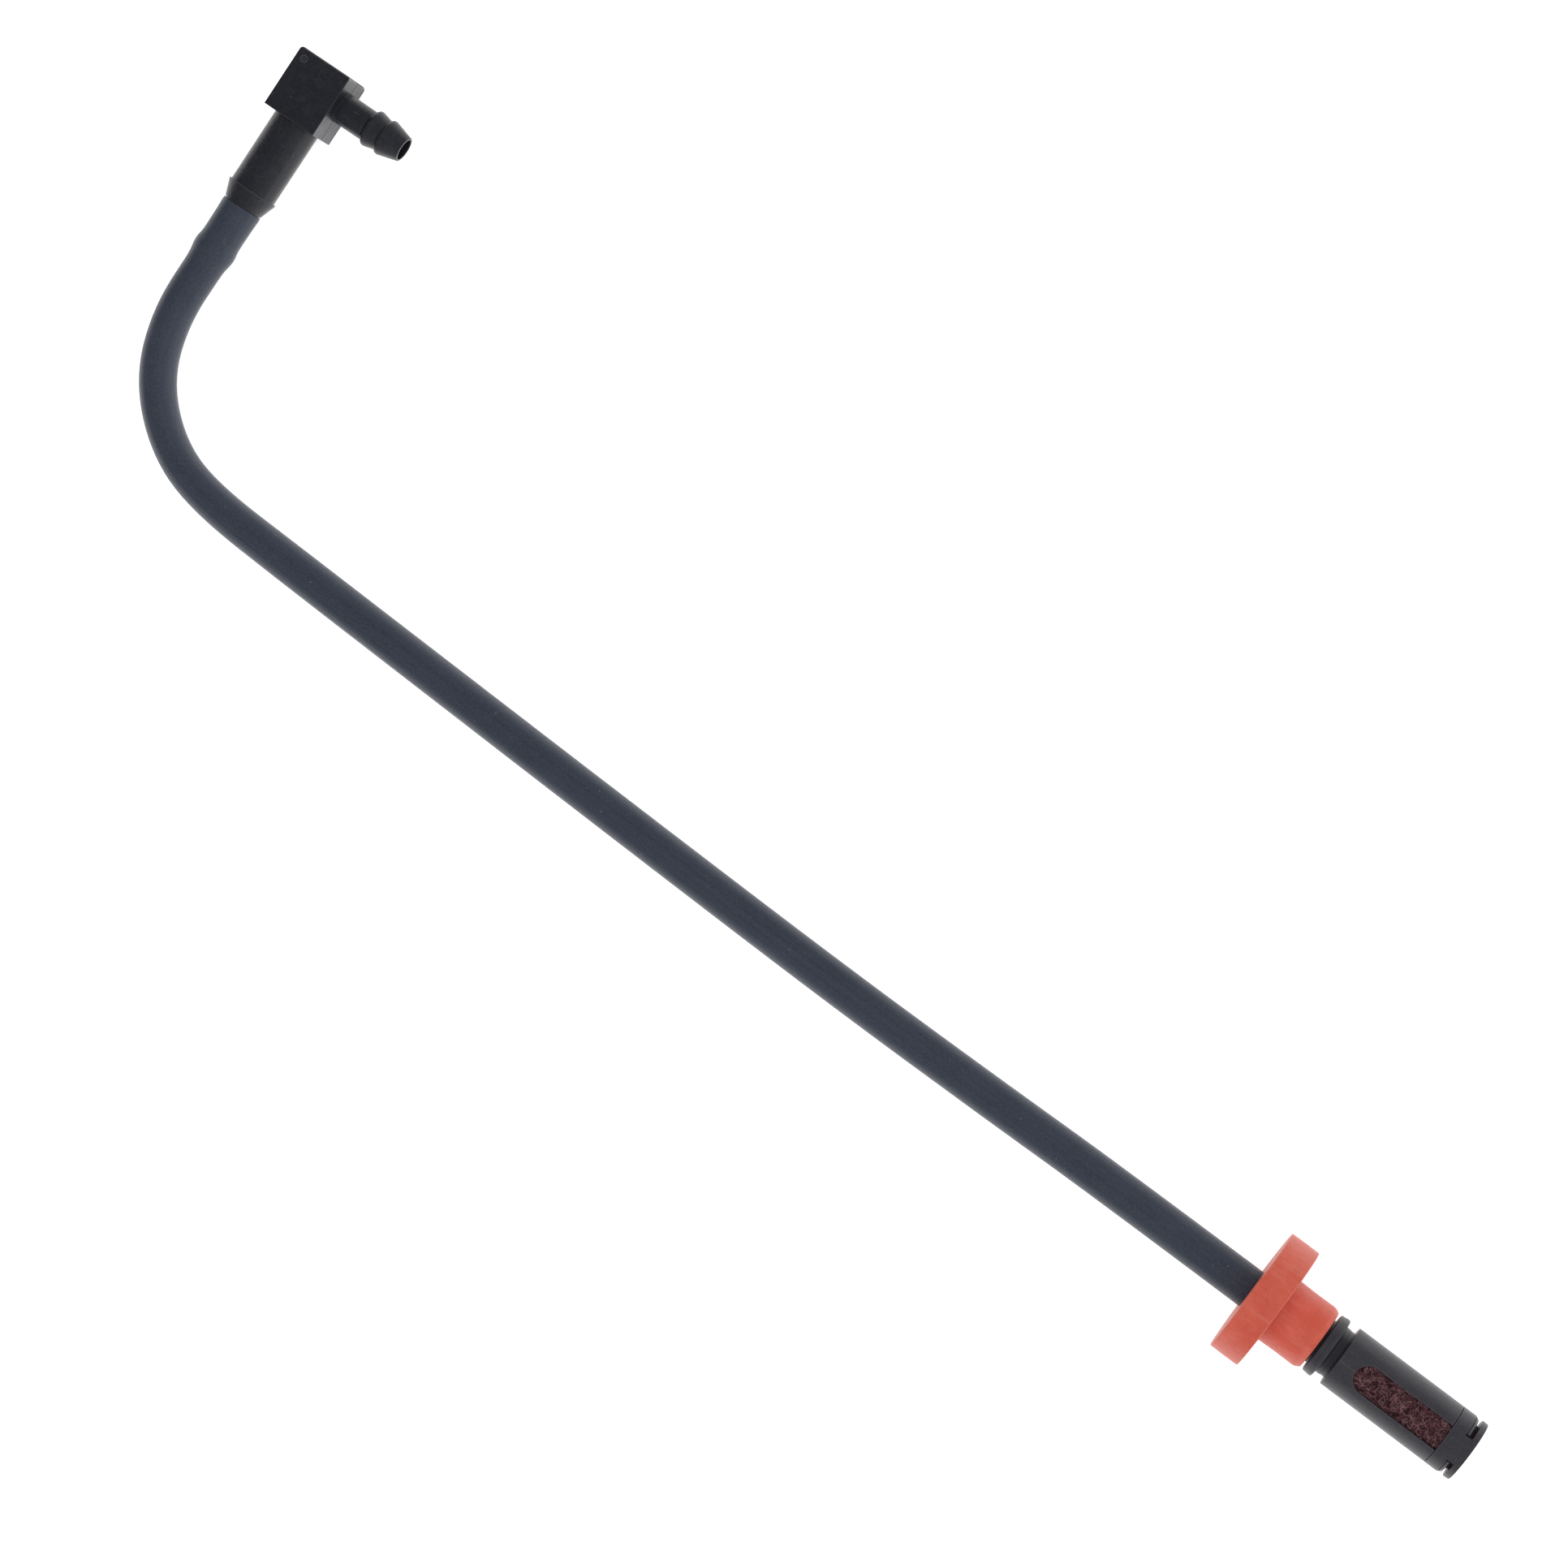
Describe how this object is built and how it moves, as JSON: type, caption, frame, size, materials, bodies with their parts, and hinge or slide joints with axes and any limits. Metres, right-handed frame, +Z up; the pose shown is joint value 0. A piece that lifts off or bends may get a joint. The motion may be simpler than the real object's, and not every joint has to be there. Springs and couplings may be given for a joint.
{
  "type": "fuel pick-up line with filter",
  "caption": "Fuel suction line: right-angle barbed elbow, stiff rubber hose, flanged rubber tank grommet and slotted pick-up filter with a clip-on end cap.",
  "frame": {"origin": "on the hose's axis where it passes the seat face of the grommet's flange", "axes": "+X along the axis from the seat face towards the filter, +Z up from the surface the line lies on"},
  "size_m": [0.4098, 0.1166, 0.0314],
  "materials": {
    "hose_rubber": "matte slate rubber",
    "elbow_plastic": "fine satin, glass-filled",
    "grommet_rubber": "matte orange-red rubber",
    "filter_plastic": "satin",
    "filter_felt": "red-brown fibre felt"
  },
  "bodies": {
    "hose_body": {"hose": "hose_rubber"},
    "grommet_body": {"tank_grommet": "grommet_rubber"},
    "filter_body": {"filter_cage": "filter_plastic", "filter_element": "filter_felt", "end_cap": "filter_plastic"},
    "elbow_body": {"elbow_connector": "elbow_plastic"}
  },
  "joints": [
    {"name": "grommet_slide", "type": "slide", "parent": "hose_body", "child": "grommet_body", "axis": [-1, 0, 0], "range_m": [0, 0.018]},
    {"name": "filter_swivel", "type": "hinge", "parent": "hose_body", "child": "filter_body", "pos_m": [0.0116, 0, 0], "axis": [1, 0, 0], "continuous": true},
    {"name": "elbow_swivel", "type": "hinge", "parent": "hose_body", "child": "elbow_body", "pos_m": [-0.3488, 0.0609, -0.00855], "axis": [-0.0347, 0.9994, 0], "continuous": true}
  ]
}
